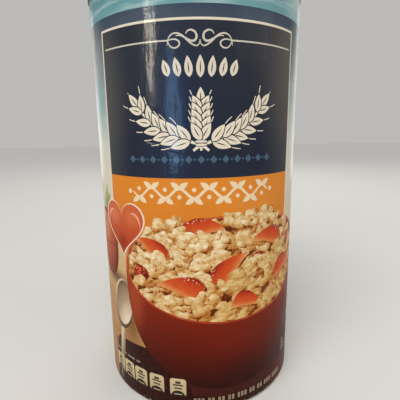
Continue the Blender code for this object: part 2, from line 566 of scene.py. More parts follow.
def mat_ink(w):
    vector, _, _ = w.sheet_place()
    weave = w.noise(w.stretched(vector, 0.8, 0.25), 0.9, 2.0, 0.6)
    colour = w.mix(w.step(weave, 0.35, 0.65), srgb(34, 8, 2), srgb(58, 18, 8))
    return spots(w, colour, (-62.0, 30.0, 12.0, 14.0, 0.5, (92, 42, 22)),
                 (64.0, 10.0, 34.0, 20.0, 0.7, (96, 26, 12)))


def pot_ink(w):
    light = w.place(ROUNDED_FORM, Wrinkle=0.08, Edge_Shade=0.45, Spread=0.0, Bend=0.2)["Light"]
    return w.ramp(light, (0.1, 70, 22, 6), (0.45, 134, 48, 16), (0.75, 182, 80, 36),
                  (0.95, 220, 144, 92))


def sprig_ink(w):
    light = w.place(ROUNDED_FORM, Wrinkle=0.2, Edge_Shade=0.2, Spread=0.3)["Light"]
    return w.ramp(light, (0.1, 72, 84, 48), (0.6, 132, 140, 86), (0.95, 178, 182, 130))


def steel_ink(w):
    light = w.place(ROUNDED_FORM, Wrinkle=0.03, Edge_Shade=0.30, Spread=0.0, Bend=0.12)["Light"]
    return w.ramp(light, (0.10, 66, 44, 30), (0.34, 112, 86, 64), (0.54, 150, 124, 98),
                  (0.72, 178, 152, 122), (0.86, 220, 200, 172), (0.96, 246, 236, 216))


def bowl_ink(w):
    """Glazed bowl: bright by the rim, deep red below, dark at the foot and the right."""
    vector, _, height = w.sheet_place()
    colour = w.ramp(w.math("DIVIDE", height, 100.0), (0.10, 26, 5, 2), (0.20, 50, 10, 2),
                    (0.34, 82, 18, 3), (0.50, 106, 26, 4), (0.64, 128, 36, 8), (0.80, 156, 54, 18))
    cloud = w.step(w.noise(vector, 0.05, 2.0), 0.4, 0.7)
    colour = w.mix(w.times(cloud, 0.18), colour, srgb(96, 24, 15))
    return spots(w, colour, (-42.0, 66.0, 10.0, 26.0, 0.50, (186, 84, 46)),
                 (20.0, 46.0, 40.0, 18.0, 0.22, (140, 38, 18)),
                 (-40.0, 26.0, 22.0, 20.0, 0.65, (46, 14, 8)),
                 (86.0, 34.0, 36.0, 46.0, 0.70, (50, 12, 5)))


def bowl_inside_ink(w):
    _, around, _ = w.sheet_place()
    return w.mix(w.step(around, -40.0, 80.0), srgb(132, 46, 28), srgb(108, 32, 22))


def lip_ink(w):
    vector, _, height = w.sheet_place()
    colour = w.mix(w.step(height, 58.0, 90.0), srgb(168, 60, 32), srgb(196, 84, 48))
    shine = w.step(w.noise(vector, 0.09, 2.0), 0.5, 0.7)
    return w.mix(w.times(shine, 0.4), colour, srgb(226, 134, 92))


def oat_colour(w, light):
    """Cooked oats: creamy to the upper left of the bowl, more golden to the right."""
    vector, around, height = w.sheet_place()
    colour = w.ramp(light, (0.00, 98, 40, 10), (0.13, 150, 80, 26), (0.28, 186, 122, 58),
                    (0.44, 203, 153, 88), (0.60, 216, 177, 119), (0.80, 229, 202, 154),
                    (1.00, 242, 226, 192))
    across = w.math("MULTIPLY_ADD", around, -0.7, height)
    patch = w.math("MULTIPLY_ADD", w.noise(vector, 0.045, 2.0), 60.0, across)
    golden = w.step(patch, 138.0, 72.0, 0.0, 0.60)
    return w.mix(golden, colour, srgb(230, 204, 118), "MULTIPLY")


def oat_shade_ink(w):
    """The heap between its clots, and where something throws its shadow on it."""
    crumble = w.place(CRUMBLE, Contrast=0.8)["Light"]
    return oat_colour(w, w.math("MULTIPLY_ADD", crumble, 0.64, -0.13, clamp=True))


def flake_ink(w):
    """A rolled flake: its own rounded light, broken up by the folds of its face."""
    light = w.place(ROUNDED_FORM, Wrinkle=0.40, Edge_Shade=0.0, Spread=0.32)["Light"]
    light = w.blend(0.28, light, w.place(CRUMBLE, Contrast=0.9)["Light"])
    vector, _, _ = w.sheet_place()
    folds = w.cells(w.stretched(w.pushed(vector, 3.0, 0.55), 1.0, 1.5), 0.27)
    tilt = w.math("SUBTRACT", w.parts(folds["Color"])[0], 0.5)
    light = w.math("MULTIPLY_ADD", tilt, 0.22, light)
    hollow = w.math("SUBTRACT", folds["Distance"], 0.46)
    return oat_colour(w, w.math("MULTIPLY_ADD", hollow, -0.28, light, clamp=True))


def fruit_ink(w):
    """A cut wedge: red glinting skin along one edge, pale flesh and core along the other."""
    vector, _, _ = w.sheet_place()
    _, _, across = w.sheet_place("Form")
    depth = w.math("MULTIPLY_ADD", w.swing(vector, 0.30, 3.0), 0.35, across)
    colour = w.ramp(w.math("MULTIPLY_ADD", depth, 0.5, 0.5), (0.06, 230, 188, 138),
                    (0.24, 220, 140, 80), (0.44, 208, 88, 36), (0.76, 196, 64, 26),
                    (0.96, 150, 38, 18))
    vein = w.step(w.noise(vector, 0.9, 3.0, 0.7), 0.58, 0.72)
    colour = w.mix(w.times(vein, 0.25), colour, srgb(218, 146, 92))
    glint = w.step(w.cells(vector, 0.50)["Distance"], 0.26, 0.14)
    lit = w.step(w.noise(vector, 0.16, 1.0), 0.42, 0.60)
    by_skin = w.times(w.step(depth, 0.45, 0.70), lit)
    return w.mix(w.times(glint, by_skin, 0.70), colour, srgb(238, 206, 176))


def berry_ink(w):
    vector, _, _ = w.sheet_place()
    light = w.place(ROUNDED_FORM, Wrinkle=0.10, Edge_Shade=0.45, Spread=0.1, Bend=0.2)["Light"]
    beads = w.cells(vector, 0.62)["Distance"]
    light = w.math("MULTIPLY_ADD", beads, -0.75, w.math("ADD", light, 0.20))
    return w.ramp(light, (0.05, 66, 10, 6), (0.40, 130, 26, 14), (0.68, 172, 48, 26),
                  (0.90, 216, 134, 98))


def heart_ink(w):
    _, _, height = w.sheet_place()
    colour = w.mix(w.step(height, 92.0, 124.0), srgb(176, 58, 28), srgb(206, 98, 56))
    return spots(w, colour, (-58.0, 116.0, 9.0, 8.0, 0.55, (222, 134, 92)),
                 (-42.0, 116.0, 9.0, 8.0, 0.45, (216, 122, 80)),
                 (-50.0, 101.0, 7.0, 8.0, 0.65, (132, 44, 22)))


def tab_ink(w):
    _, _, height = w.sheet_place()
    return w.mix(w.step(height, 10.0, 22.0), srgb(190, 170, 130), srgb(206, 186, 146))


def paper_edge_material():
    material, w, shader = start_material("cut paper edge")
    fibre = w.place(BOARD_FIBRE, Board=srgb(226, 218, 202), Fibre=0.25, Stain=0.2)
    w.feed(shader.inputs["Base Color"], fibre["Board"])
    w.feed(shader.inputs["Roughness"], w.math("MULTIPLY_ADD", fibre["Height"], 0.1, 0.82))
    w.bump(shader, fibre["Height"], 0.4, 0.00005)
    return material


def board_material(name, shade, ring_radius):
    """Tube or end board: grey-brown fibres, and the press ring round the sunk end."""
    material, w, shader = start_material(name)
    fibre = w.place(BOARD_FIBRE, Board=shade, Fibre=0.30, Stain=0.30)
    radius = w.from_axis(w.model_place())
    off_ring = w.math("ABSOLUTE", w.math("SUBTRACT", radius, ring_radius))
    pressed = w.step(off_ring, PRESS_RING_HALF, 0.0)
    w.feed(shader.inputs["Base Color"],
           w.mix(w.times(pressed, 0.22), fibre["Board"], srgb(120, 104, 84)))
    w.feed(shader.inputs["Roughness"], w.math("MULTIPLY_ADD", fibre["Height"], 0.12, 0.78))
    w.bump(shader, w.math("SUBTRACT", fibre["Height"], pressed), 0.5, 0.0001)
    return material


def lid_material():
    """Milky moulded plastic: flow marks from the middle, fine satin grain, rubbed edges."""
    material, w, shader = start_material("milky lid plastic")
    place = w.model_place()
    radius = w.from_axis(place)
    flow = w.noise(w.stretched(place, 1.0, 1.0, 0.2), 28.0, 3.0, 0.6, 1.2)
    colour = w.mix(w.step(flow, 0.35, 0.70), srgb(222, 221, 213), srgb(233, 232, 226))
    near_gate = w.step(radius, DISH_IN, 0.0)
    colour = w.mix(w.times(near_gate, 0.35), colour, srgb(206, 205, 198))
    scuff = w.step(w.noise(place, 900.0, 4.0, 0.8), 0.55, 0.68)
    scuffed = w.times(w.step(radius, 0.0618, 0.0640), scuff)
    colour = w.mix(w.times(scuffed, 0.30), colour, srgb(214, 212, 205))
    w.feed(shader.inputs["Base Color"], colour)
    satin = w.math("MULTIPLY_ADD", w.noise(place, 75.0, 2.0), 0.16, 0.44)
    w.feed(shader.inputs["Roughness"], w.math("MULTIPLY_ADD", scuffed, 0.15, satin))
    shader.inputs["Specular IOR Level"].default_value = 0.30
    shader.inputs["Subsurface Weight"].default_value = 0.25
    shader.inputs["Subsurface Radius"].default_value = (0.004, 0.004, 0.0035)
    shader.inputs["Subsurface Scale"].default_value = 0.5
    rings = w.math("SINE", w.times(radius, 4200.0))
    grain = w.noise(place, 2200.0, 2.0, 0.6)
    w.bump(shader, w.math("MULTIPLY_ADD", rings, 0.12, grain), 0.25, 0.0001)
    return material


# Shapes on the flat sheet, mm


def rectangle(left, foot, right, head):
    return [(left, foot), (right, foot), (right, head), (left, head)]


def rounded_box(left, foot, right, head, radius, steps=5):
    points = []
    for corner, (cu, cz) in enumerate((
            (right - radius, head - radius), (left + radius, head - radius),
            (left + radius, foot + radius), (right - radius, foot + radius))):
        for step in range(steps + 1):
            angle = TAU / 4.0 * (corner + step / steps)
            points.append((cu + radius * math.cos(angle), cz + radius * math.sin(angle)))
    return points


def placed(outline, u, z, tilt):
    """An outline turned by a tilt and moved to a place."""
    cos_t, sin_t = math.cos(tilt), math.sin(tilt)
    return [(u + x * cos_t - y * sin_t, z + x * sin_t + y * cos_t) for x, y in outline]


def mirrored(outline):
    return [(-u, z) for u, z in outline]


def oval(cu, cz, half_long, half_wide, tilt=0.0, steps=28, start=0.0, end=TAU):
    """An oval, or the stretch of it between two angles."""
    closed = abs(end - start - TAU) < 1e-6
    count = steps if closed else steps + 1
    angles = [start + (end - start) * index / steps for index in range(count)]
    return placed([(half_long * math.cos(angle), half_wide * math.sin(angle))
                   for angle in angles], cu, cz, tilt)


def skewed(share, middle):
    """A share of a length, bent so that the given one becomes the middle."""
    return share ** (math.log(0.5) / math.log(middle))


def leaf(u, z, length, width, heading, steps=8, belly=0.42):
    """A pointed oval from its root along a heading, fullest at the belly."""
    near, far = [], []
    for index in range(steps + 1):
        t = index / steps
        half = width / 2.0 * math.sin(math.pi * skewed(t, belly)) ** 0.85
        near.append((length * t, -half))
        far.append((length * t, half))
    return placed(near + far[-2:0:-1], u, z, heading)


def flourish(u, z, heading, length, bend_start, bend_end, steps=22):
    """Centre line of a pen stroke whose bend, in radians per mm, changes evenly."""
    points = [(u, z)]
    step = length / steps
    for index in range(steps):
        heading += (bend_start + (bend_end - bend_start) * (index + 0.5) / steps) * step
        u += math.cos(heading) * step
        z += math.sin(heading) * step
        points.append((u, z))
    return points


def pen(points, thin, thick, swell=0.5):
    """A line drawn with a broad pen, as short quads side by side."""
    edges = []
    last = len(points) - 1
    for index, (u, z) in enumerate(points):
        before = points[max(index - 1, 0)]
        after = points[min(index + 1, last)]
        run, rise = after[0] - before[0], after[1] - before[1]
        length = math.hypot(run, rise) or 1.0
        bulge = math.sin(math.pi * skewed(index / last, swell))
        half = (thin + (thick - thin) * bulge) / 2.0
        across = (-rise / length * half, run / length * half)
        edges.append(((u + across[0], z + across[1]), (u - across[0], z - across[1])))
    return [[a[1], b[1], b[0], a[0]] for a, b in zip(edges, edges[1:])]


def smooth_span(a, b, c, d, steps):
    """Points from b up to c of a smooth line through all four (Catmull-Rom)."""
    return [tuple(0.5 * (2 * b[k] + (c[k] - a[k]) * t
                         + (2 * a[k] - 5 * b[k] + 4 * c[k] - d[k]) * t * t
                         + (3 * b[k] - a[k] - 3 * c[k] + d[k]) * t ** 3)
                  for k in (0, 1))
            for t in (step / steps for step in range(steps))]


def curve_through(points, steps=6):
    """A smooth line through points."""
    padded = [points[0], *points, points[-1]]
    line = []
    for span in zip(padded, padded[1:], padded[2:], padded[3:]):
        line += smooth_span(*span, steps)
    return line + [tuple(points[-1])]


def smooth_ring(points, steps=2):
    """A closed outline rounded through its points."""
    padded = [points[-1], *points, points[0], points[1]]
    ring = []
    for span in zip(padded, padded[1:], padded[2:], padded[3:]):
        ring += smooth_span(*span, steps)
    return ring


class Sheet:
    """The flat printed sheet: shapes painted in order, each in a named field of ink."""

    def __init__(self):
        self.shapes = []

    def paint(self, field, outline, form=None, chance=(0.5, 0.5)):
        """form = (middle u, middle z, half long, half wide, tilt, turned with the tilt)."""
        area = sum(a[0] * b[1] - b[0] * a[1]
                   for a, b in zip(outline, outline[1:] + outline[:1]))
        if area < 0.0:
            outline = outline[::-1]
        self.shapes.append((field, outline, form, chance))

    def paint_all(self, field, outlines, **more):
        for outline in outlines:
            self.paint(field, outline, **more)

    def cut(self):
        """Cuts the sheet along every edge; each triangle belongs to its topmost shape."""
        points, faces, edges = [], [], []
        for _, outline, _, _ in self.shapes:
            first = len(points)
            points.extend(Vector(point) for point in outline)
            faces.append(list(range(first, first + len(outline))))
        for column in range(1, SHEET_COLUMNS):
            u = HALF_TURN * (2.0 * column / SHEET_COLUMNS - 1.0)
            edges.append((len(points), len(points) + 1))
            points.extend((Vector((u, LABEL_FOOT)), Vector((u, LABEL_HEAD))))
        inside_only = 1
        places, _, triangles, _, _, covers = geometry.delaunay_2d_cdt(
            points, edges, faces, inside_only, JOIN_DISTANCE, True)
        fields = {}
        for triangle, cover in zip(triangles, covers):
            a, b, c = (places[index] for index in triangle)
            if cover and (b - a).cross(c - a) > SLIVER:
                top = max(cover)
                fields.setdefault(self.shapes[top][0], []).append((triangle, top))
        return [tuple(place) for place in places], fields


def form_place(form, u, z):
    """Place inside one small thing of the picture: its edge is about 1 from the middle."""
    if form is None:
        return u / 100.0, z / 100.0
    cu, cz, half_long, half_wide, tilt, turned = form
    cos_t, sin_t = math.cos(tilt), math.sin(tilt)
    du, dz = u - cu, z - cz
    x = (du * cos_t + dz * sin_t) / half_long
    y = (dz * cos_t - du * sin_t) / half_wide
    if turned:
        return x, y
    return x * cos_t - y * sin_t, x * sin_t + y * cos_t


def wrap_radius(u):
    """Outside radius of the wrap: proud where its free edge laps over, then running out."""
    past = u + HALF_TURN
    if past <= LAP_WIDTH:
        return LABEL_RADIUS + SEAM_STEP
    return LABEL_RADIUS + SEAM_STEP * max(0.0, 1.0 - (past - LAP_WIDTH) / RUN_OUT)


def round_tube(u, radius):
    """Metres across and along in the model for a place round the tube."""
    angle = u * MM / LABEL_RADIUS
    return radius * math.sin(angle), -radius * math.cos(angle)


def link_object(name, mesh, material):
    mesh.materials.append(material)
    obj = bpy.data.objects.new(name, mesh)
    bpy.context.scene.collection.objects.link(obj)
    return obj


def raise_piece(name, triangles, sheet_points, shapes, material):
    """Makes one field of ink as a mesh on the tube, with its places for the materials."""
    used = {}
    for triangle, _ in triangles:
        for index in triangle:
            used.setdefault(index, len(used))
    flat = [sheet_points[index] for index in used]
    mesh = bpy.data.meshes.new(name)
    mesh.from_pydata([(*round_tube(u, wrap_radius(u)), z * MM) for u, z in flat], [],
                     [[used[index] for index in triangle] for triangle, _ in triangles])
    low_u, high_u = min(p[0] for p in flat), max(p[0] for p in flat)
    low_z, high_z = min(p[1] for p in flat), max(p[1] for p in flat)
    span = max(high_u - low_u, high_z - low_z)
    place, form, tone, bake = [], [], [], []
    for triangle, top in triangles:
        _, _, shape_form, chance = shapes[top]
        for index in triangle:
            u, z = sheet_points[index]
            place.extend((u, z))
            form.extend(form_place(shape_form, u, z))
            tone.extend(chance)
            bake.extend(((u - low_u) / span * 0.99 + 0.005, (z - low_z) / span * 0.99 + 0.005))
    for label, values in (("OFBake", bake), ("Print", place), ("Form", form), ("Tone", tone)):
        layer = mesh.uv_layers.new(name=label)
        layer.data.foreach_set("uv", values)
    mesh.shade_smooth()
    mesh.normals_split_custom_set_from_vertices([(*round_tube(u, 1.0), 0.0) for u, _ in flat])
    return link_object(name, mesh, material)


# Drawing the wrap


def draw_panel(sheet):
    """Navy panel and orange band inside one cream keyline."""
    sheet.paint("wrap_ground", rectangle(-HALF_TURN, LABEL_FOOT, HALF_TURN, LABEL_HEAD))
    sheet.paint("sky_band", rectangle(-HALF_TURN, SKY_FOOT, HALF_TURN, LABEL_HEAD))
    sheet.paint("keyline", rectangle(-PANEL_HALF, BAND_FOOT, PANEL_HALF, PANEL_TOP))
    inner = PANEL_HALF - KEYLINE
    sheet.paint("orange_band", rectangle(-inner, BAND_FOOT, inner, NAVY_FOOT))
    sheet.paint("navy_panel", rectangle(-inner, NAVY_FOOT, inner, PANEL_TOP - KEYLINE))


# Pen strokes of the left scroll: (u, height over the rule), thin, thick, place of the swell
SCROLL_STROKES = (
    # Long lower sweep, from the tail by the rule to the cusp in the middle
    (((-15.7, -2.3), (-15.3, 0.0), (-14.4, 1.8), (-12.7, 2.9), (-10.6, 3.0), (-8.1, 1.8),
      (-5.7, -0.4), (-3.7, -1.9), (-1.8, -2.6), (-0.5, -1.8), (0.0, 0.2)), 0.32, 0.80, 0.52),
    # Upper sweep, turning back over itself in a curl
    (((-11.4, 1.9), (-9.4, 2.0), (-7.2, 1.1), (-4.9, -0.2), (-2.8, -0.4), (-1.6, 1.1),
      (-2.1, 3.2), (-4.1, 4.3), (-5.9, 3.8), (-6.6, 2.6)), 0.38, 1.05, 0.50),
    # Small ring that hangs from the rule's end
    (((-15.2, 0.0), (-13.4, 0.45), (-11.3, 0.3), (-9.8, -0.9), (-10.1, -2.5), (-11.9, -3.4),
      (-13.8, -2.9), (-15.0, -1.2), (-15.3, 0.2)), 0.38, 0.75, 0.40),
)


def draw_rule_scrolls(sheet):
    """A fine rule with a mirrored pair of pen scrolls in its middle."""
    half = RULE_THICKNESS / 2.0
    strokes = []
    for points, thin, thick, swell in SCROLL_STROKES:
        line = curve_through([(u, RULE_HEIGHT + lift) for u, lift in points], 7)
        strokes += pen(line, thin, thick, swell)
    sheet.paint_all("rule_scrolls", strokes)
    sheet.paint_all("rule_scrolls", [mirrored(stroke) for stroke in strokes])
    for side in (-1.0, 1.0):
        ends = sorted((side * RULE_IN, side * RULE_OUT))
        sheet.paint("rule_scrolls", rectangle(ends[0], RULE_HEIGHT - half, ends[1],
                                              RULE_HEIGHT + half))


def draw_grain(sheet, field, crease, u, z, length, width, heading):
    """One oat grain: a plump pointed husk with a fine crease left in the ground colour."""
    sheet.paint(field, leaf(u, z, length, width, heading))
    inset = length * 0.16
    sheet.paint(crease, leaf(u + math.cos(heading) * inset, z + math.sin(heading) * inset,
                             length * 0.60, 0.55, heading, steps=4))


def draw_grain_row(sheet):
    """A short fan of upright grains above the ears."""
    for index in range(7):
        side = index - 3
        height = 10.4 - 0.55 * abs(side) ** 1.3
        heading = math.pi / 2.0 - 0.10 * side
        draw_grain(sheet, "grain_row", "navy_panel", side * GRAIN_PITCH,
                   GRAIN_ROW_Z + 0.25 * abs(side), height, 4.0, heading)


def draw_ear(sheet, stem, pairs, start, grain, spread, awn):
    """An ear of oats: a stem, grains in pairs that overlap downwards, and fine awns."""
    sheet.paint_all("oat_ears", pen(stem, 1.1, 1.5, 0.3))
    last = len(stem) - 1
    (u, z), (before_u, before_z) = stem[-1], stem[-2]
    tip_heading = math.atan2(z - before_z, u - before_u)
    places = [(u, z, tip_heading, 0.0, 0.86)]
    for pair in reversed(range(pairs)):
        index = min(round(start + (last - start) * pair / (pairs - 0.3)), last - 1)
        (u, z), (after_u, after_z) = stem[index], stem[index + 1]
        heading = math.atan2(after_z - z, after_u - u)
        places += [(u, z, heading + side * spread, side, 1.0 - 0.20 * pair / pairs)
                   for side in (-1.0, 1.0)]
    for u, z, lean, side, size in places:
        length, width = grain[0] * size, grain[1] * size
        reach = length * (0.96 if side else 0.6)
        sheet.paint_all("oat_ears", pen(
            flourish(u + math.cos(lean) * reach, z + math.sin(lean) * reach, lean,
                     awn * size, -side * 0.02, -side * 0.06, 5), 0.40, 0.45))
        sheet.paint("navy_panel", leaf(u - math.cos(lean) * GRAIN_GAP,
                                       z - math.sin(lean) * GRAIN_GAP,
                                       length + 2.0 * GRAIN_GAP, width + 2.0 * GRAIN_GAP, lean))
        draw_grain(sheet, "oat_ears", "navy_panel", u, z, length, width, lean)


def draw_oat_ears(sheet):
    """Three ears tied at the foot: one upright, two sweeping out and up."""
    for side in (-1.0, 1.0):
        stem = curve_through([(side * u, z) for u, z in (
            (-4.0, EARS_FOOT), (0.0, 156.0), (9.0, 159.0), (17.5, 162.0), (25.5, 166.8),
            (32.5, 174.6))], 8)
        draw_ear(sheet, stem, pairs=6, start=13, grain=(10.6, 4.7), spread=0.60, awn=5.5)
    stem = [(0.0, EARS_FOOT + 0.51 * step) for step in range(44)]
    draw_ear(sheet, stem, pairs=5, start=10, grain=(9.8, 4.6), spread=0.52, awn=3.6)
    for lift in (156.3, 157.9):
        sheet.paint("navy_panel", oval(0.0, lift, 3.6, 0.95, steps=16))
        sheet.paint("oat_ears", oval(0.0, lift, 3.1, 0.62, steps=16))


def draw_lozenge_row(sheet):
    """A quiet row of lozenges and dots in dull blue."""
    for index in range(-6, 7):
        u = index * LOZENGE_PITCH
        sheet.paint("lozenge_row", [(u - 1.9, LOZENGE_Z), (u, LOZENGE_Z - 2.0),
                                    (u + 1.9, LOZENGE_Z), (u, LOZENGE_Z + 2.0)])
        if index < 6:
            sheet.paint("lozenge_row", oval(u + LOZENGE_PITCH / 2.0, LOZENGE_Z, 0.55, 0.55,
                                            steps=10))


def draw_band_vine(sheet):
    """A running vine in cream along the orange band, a pair of leaves at each bend."""
    count = 120
    places = [-VINE_REACH + 2.0 * VINE_REACH * index / count for index in range(count + 1)]
    sheet.paint_all("band_vine", pen(
        [(u, VINE_Z + VINE_SWING * math.sin(TAU * u / VINE_WAVE)) for u in places], 1.0, 1.5))
    for bend in range(-5, 5):
        u = (bend + 0.5) * VINE_WAVE / 2.0
        side = 1.0 if bend % 2 == 0 else -1.0
        crest = VINE_Z + side * VINE_SWING
        for heading in (side * 0.62, math.pi - side * 0.62):
            sheet.paint("band_vine", leaf(u, crest, 5.6, 2.9, heading))
        sheet.paint("band_vine", oval(u, VINE_Z - side * 1.9, 1.15, 1.15, steps=14))
    for end in (-1.0, 1.0):
        sheet.paint("band_vine", oval(end * (VINE_REACH + 2.4), VINE_Z, 1.3, 1.3, steps=14))


def heart_outline(grow=0.0, steps=48):
    """The usual heart curve, fitted to the badge's width and height."""
    points = []
    for index in range(steps):
        t = TAU * index / steps
        x = math.sin(t) ** 3
        y = (13.0 * math.cos(t) - 5.0 * math.cos(2 * t) - 2.0 * math.cos(3 * t)
             - math.cos(4 * t)) / 17.0
        points.append((HEART_U + x * (HEART_WIDTH / 2.0 + grow),
                       HEART_Z + y * (HEART_HEIGHT / 1.72 + grow) + 2.4))
    return points


def draw_heart(sheet):
    """A plain heart badge with a cream edge and two curved shines."""
    sheet.paint("heart_edge", heart_outline())
    sheet.paint("heart_badge", heart_outline(-HEART_EDGE))
    for side in (-1.0, 1.0):
        line = flourish(HEART_U + side * 14.6, HEART_Z + 1.5, math.pi / 2.0 - side * 0.05, 13.0,
                        side * 0.03, side * 0.26, 12)
        sheet.paint_all("heart_shine", pen(line, 0.2, 1.3, 0.6))


def bowl_body():
    """Front of the bowl: the near rim above and a full round body below."""
    near_rim = oval(BOWL_U, BOWL_RIM_Z, BOWL_HALF, BOWL_RIM_HALF, 0.0, 56, math.pi, TAU)
    side = []
    for index in range(1, 40):
        angle = math.pi / 2.0 * index / 40.0
        side.append((BOWL_HALF * math.cos(angle),
                     BOWL_RIM_Z - BOWL_DEPTH * math.sin(angle) ** 0.72))
    right = [(BOWL_U + u, z) for u, z in side]
    left = [(BOWL_U - u, z) for u, z in side]
    return near_rim + right + left[::-1]


def heap_top(u):
    """Height of the heap's outline over the bowl, mm."""
    marks = ((-48.0, 92.0), (-43.0, 101.0), (-36.0, 110.0), (-27.0, 116.5), (-16.0, 117.0),
             (-4.0, 116.0), (8.0, 119.0), (20.0, 122.5), (33.0, 121.5), (45.0, 117.0),
             (56.0, 112.5), (68.0, 106.0), (78.0, 97.0), (83.0, 90.0))
    if u <= marks[0][0]:
        return marks[0][1]
    for (u0, z0), (u1, z1) in zip(marks, marks[1:]):
        if u <= u1:
            t = (u - u0) / (u1 - u0)
            return z0 + (z1 - z0) * (3 * t * t - 2 * t ** 3)
    return marks[-1][1]


def flake_outline(cu, cz, half_long, half_wide, tilt, rng, points=12, rough=1.0):
    """An uneven rolled flake, seen at a slant: lobed, with a nicked edge."""
    turns = [rng.uniform(0.0, TAU) for _ in range(3)]
    outline = []
    for index in range(points):
        angle = TAU * index / points
        swell = 1.0 + rough * (0.12 * math.sin(2 * angle + turns[0])
                               + 0.10 * math.sin(3 * angle + turns[1])
                               + 0.06 * math.sin(5 * angle + turns[2])
                               + rng.uniform(-0.08, 0.08))
        outline.append((half_long * swell * math.cos(angle), half_wide * swell * math.sin(angle)))
    return smooth_ring(placed(outline, cu, cz, tilt))


def draw_clot(sheet, cu, cz, size, rng):
    """A clot of cooked flakes: one soft shadow under them all, then each flake's face."""
    tone = rng.random()
    members = [(cu, cz, size * rng.uniform(0.70, 0.92))]
    for _ in range(rng.choice((1, 2, 2, 3, 3))):
        angle, away = rng.uniform(0.0, TAU), size * rng.uniform(0.45, 0.85)
        members.append((cu + 1.15 * away * math.cos(angle), cz + 0.70 * away * math.sin(angle),
                        size * rng.uniform(0.42, 0.72)))
    members.sort(key=lambda member: -member[1])
    faces = []
    for u, z, half_long in members:
        half_wide = half_long * rng.uniform(0.55, 0.85)
        tilt = rng.uniform(-0.9, 0.9)
        outline = flake_outline(u, z, half_long, half_wide, tilt, rng, rough=1.5)
        faces.append((outline, (u, z, half_long, half_wide, tilt, False),
                      (0.65 * tone + 0.35 * rng.random(), rng.random())))
    drop = rng.uniform(0.9, 2.6)
    sheet.paint_all("oat_shade", [[(u + 0.45 * drop, z - drop) for u, z in outline]
                                  for outline, _, _ in faces])
    for outline, form, chance in faces:
        if rng.random() < 0.35:
            lift = rng.uniform(-0.6, 0.3)
            sheet.paint("oat_shade", [(u + 0.3, z + lift) for u, z in outline])
        sheet.paint("oat_flakes", outline, form, chance)
    if rng.random() < 0.55:
        u, z = cu + size * rng.uniform(-0.7, 0.7), cz + size * rng.uniform(-0.3, 0.5)
        half_long, tilt = rng.uniform(1.9, 3.0), rng.uniform(-1.1, 1.1)
        outline = flake_outline(u, z, half_long, half_long * 0.5, tilt, rng, points=9)
        sheet.paint("oat_shade", [(au + 0.35, az - 0.6) for au, az in outline])
        sheet.paint("oat_flakes", outline, (u, z, half_long, half_long * 0.5, tilt, False),
                    (0.5 + 0.5 * rng.random(), rng.random()))


def wedge_outline(cu, cz, half_long, half_wide, tilt, taper, steps=14):
    """A slice of fruit: a full outer arc, fuller toward one end, and a flatter inner one."""
    outline = []
    for index in range(steps + 1):
        angle = math.pi * index / steps
        bulge = 1.9 * math.sin(angle) * (1.0 + taper * math.cos(angle))
        outline.append((half_long * math.cos(angle), half_wide * (bulge - 0.9)))
    for index in range(1, steps):
        angle = math.pi * (1.0 - index / steps)
        outline.append((half_long * math.cos(angle),
                        half_wide * (0.35 * math.sin(angle) - 0.9)))
    return placed(outline, cu, cz, tilt)


def draw_fruit(sheet, cu, cz, half_long, half_wide, tilt, taper, rng):
    """A slice and the shadow under it."""
    sheet.paint("oat_shade", wedge_outline(cu + 0.5, cz - 0.9, half_long * 1.06,
                                           half_wide * 1.08, tilt, taper))
    sheet.paint("fruit_slices", wedge_outline(cu, cz, half_long, half_wide, tilt, taper),
                (cu, cz, half_long, half_wide * 1.1, tilt, True), (rng.random(), 0.5))


def draw_berry(sheet, cu, cz, radius, rng):
    """A berry and the shadow under it."""
    sheet.paint("oat_shade", oval(cu + 0.4, cz - 0.7, radius * 1.08, radius * 1.05, steps=18))
    sheet.paint("berries", oval(cu, cz, radius, radius * 0.95, steps=18),
                (cu, cz, radius, radius, 0.0, False), (rng.random(), 0.5))


# Slices: middle u, middle z, half long, half wide, tilt, taper. Berries: middle u, z, radius.
FRUIT = (
    (0.0, 113.0, 12.0, 5.8, 0.22, -0.25),
    (-28.0, 100.5, 11.5, 5.8, -0.72, 0.40),
    (42.0, 104.0, 12.0, 6.2, -0.30, 0.35),
    (14.0, 88.5, 14.0, 7.0, 0.95, -0.40),
    (-11.0, 79.0, 14.0, 7.4, -0.42, 0.45),
    (54.0, 81.5, 12.5, 6.4, 0.35, 0.30),
    (27.0, 68.5, 10.5, 5.6, -0.12, -0.45),
)
BERRIES = ((65.0, 97.0, 5.4), (-36.5, 84.5, 5.2), (33.5, 91.5, 5.4))


def place_clots(rng):
    """Clots of oats in rows from the back of the heap to its front, where they are larger."""
    clots = []
    level = HEAP_BACK
    while level > HEAP_FRONT:
        depth = (HEAP_BACK - level) / (HEAP_BACK - HEAP_FRONT)
        spacing = 9.0 + 4.4 * depth
        u = -50.0 + rng.uniform(0.0, spacing)
        while u < 84.0:
            z = level + rng.uniform(-1.4, 1.4)
            if z < heap_top(u) - 1.6:
                near = BOWL_RIM_Z - BOWL_RIM_HALF * math.sqrt(
                    max(0.0, 1.0 - ((u - BOWL_U) / BOWL_HALF) ** 2))
                size = min(5.0 + 2.0 * depth, (BOWL_HALF - abs(u - BOWL_U)) / 1.7)
                if z > near - 3.0 and size > 2.0:
                    clots.append((u, z, size))
            u += spacing * rng.uniform(0.72, 1.28)
        level -= 5.0 + 2.7 * depth
    return clots


